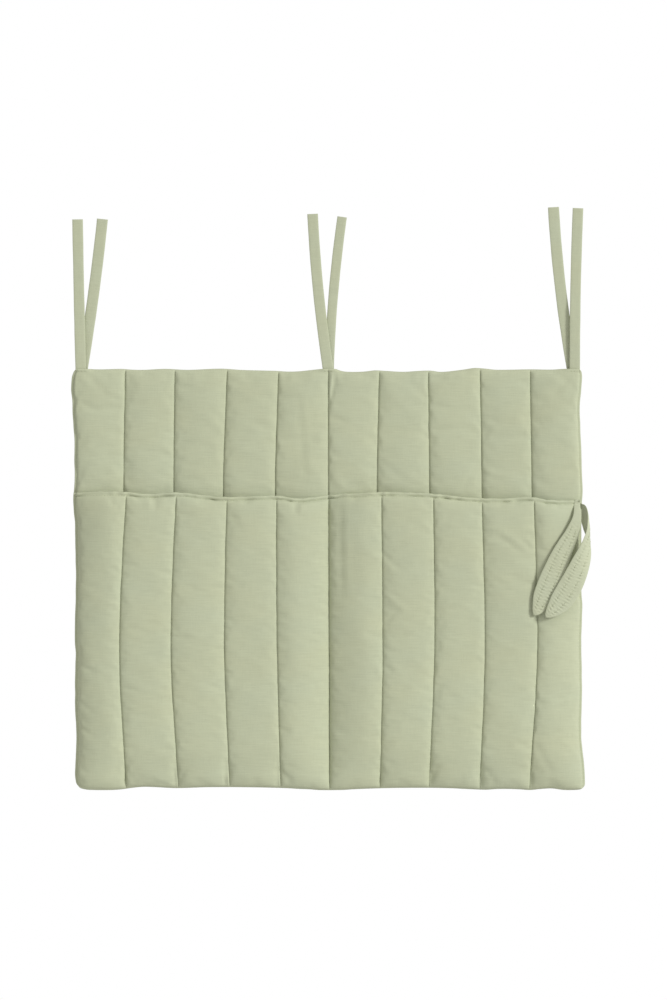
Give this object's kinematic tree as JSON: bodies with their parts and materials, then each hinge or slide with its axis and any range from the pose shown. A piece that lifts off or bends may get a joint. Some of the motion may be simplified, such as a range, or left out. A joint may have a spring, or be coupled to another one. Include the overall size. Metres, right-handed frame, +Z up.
{
  "type": "hanging pocket organizer",
  "caption": "Quilted fabric organizer that ties to a cot rail or bed frame, with wide divided pockets and leaf-shaped straps at the pocket mouth.",
  "frame": {"origin": "middle of the panel's top edge, halfway between its front and rear fabrics, on the line that is tied under a rail", "axes": "+Z up, +X to the viewer's right, and the pockets face -Y"},
  "size_m": [0.6115, 0.0385, 0.6874],
  "materials": {
    "cotton": "matt plain-weave cotton, sage green",
    "wadding": "needled polyester wadding, off-white",
    "thread": "matt sewing thread, a shade darker than the cloth"
  },
  "bodies": {
    "panel": {"back_panel_front_fabric": "cotton", "back_panel_rear_fabric": "cotton", "pocket_face_fabric": "cotton", "pocket_lining_fabric": "cotton", "back_panel_wadding": "wadding", "pocket_wadding": "wadding", "back_seam_thread_1": "thread", "back_seam_thread_2": "thread", "back_seam_thread_3": "thread", "back_seam_thread_4": "thread", "back_seam_thread_5": "thread", "back_seam_thread_6": "thread", "back_seam_thread_7": "thread", "back_seam_thread_8": "thread", "back_seam_thread_9": "thread", "back_bobbin_thread_1": "thread", "back_bobbin_thread_2": "thread", "back_bobbin_thread_3": "thread", "back_bobbin_thread_4": "thread", "back_bobbin_thread_5": "thread", "back_bobbin_thread_6": "thread", "back_bobbin_thread_7": "thread", "back_bobbin_thread_8": "thread", "back_bobbin_thread_9": "thread", "pocket_seam_thread_1": "thread", "pocket_seam_thread_2": "thread", "pocket_seam_thread_3": "thread", "pocket_seam_thread_4": "thread", "pocket_seam_thread_6": "thread", "pocket_seam_thread_7": "thread", "pocket_seam_thread_8": "thread", "pocket_seam_thread_9": "thread", "pocket_divider_thread": "thread", "pocket_mouth_topstitch": "thread", "tie_bartack_left": "thread", "tie_bartack_middle": "thread", "tie_bartack_right": "thread", "leaf_bartack": "thread"},
    "tie_left_front": {"tie_left_front": "cotton"},
    "tie_left_rear": {"tie_left_rear": "cotton"},
    "tie_middle_front": {"tie_middle_front": "cotton"},
    "tie_middle_rear": {"tie_middle_rear": "cotton"},
    "tie_right_front": {"tie_right_front": "cotton"},
    "tie_right_rear": {"tie_right_rear": "cotton"},
    "leaf_strap_under": {"leaf_strap_under": "cotton", "leaf_strap_under_stitching": "thread"},
    "leaf_strap_over": {"leaf_strap_over": "cotton", "leaf_strap_over_stitching": "thread"}
  },
  "joints": [
    {"name": "left_front_tie_fold", "type": "hinge", "parent": "panel", "child": "tie_left_front", "pos_m": [-0.29, -0.00143, 0.001], "axis": [1, 0, 0], "range_deg": [0, 140]},
    {"name": "left_rear_tie_fold", "type": "hinge", "parent": "panel", "child": "tie_left_rear", "pos_m": [-0.29, 0.00143, 0.001], "axis": [-1, 0, 0], "range_deg": [0, 140]},
    {"name": "middle_front_tie_fold", "type": "hinge", "parent": "panel", "child": "tie_middle_front", "pos_m": [0, -0.00143, 0.001], "axis": [1, 0, 0], "range_deg": [0, 140]},
    {"name": "middle_rear_tie_fold", "type": "hinge", "parent": "panel", "child": "tie_middle_rear", "pos_m": [0, 0.00143, 0.001], "axis": [-1, 0, 0], "range_deg": [0, 140]},
    {"name": "right_front_tie_fold", "type": "hinge", "parent": "panel", "child": "tie_right_front", "pos_m": [0.29, -0.00143, 0.001], "axis": [1, 0, 0], "range_deg": [0, 140]},
    {"name": "right_rear_tie_fold", "type": "hinge", "parent": "panel", "child": "tie_right_rear", "pos_m": [0.29, 0.00143, 0.001], "axis": [-1, 0, 0], "range_deg": [0, 140]},
    {"name": "under_leaf_swing", "type": "hinge", "parent": "panel", "child": "leaf_strap_under", "pos_m": [0.2955, -0.0068, -0.1545], "axis": [0, -1, 0], "range_deg": [-60, 5]},
    {"name": "over_leaf_swing", "type": "hinge", "parent": "panel", "child": "leaf_strap_over", "pos_m": [0.3003, -0.0035, -0.157], "axis": [0, -1, 0], "range_deg": [0, 60]}
  ]
}
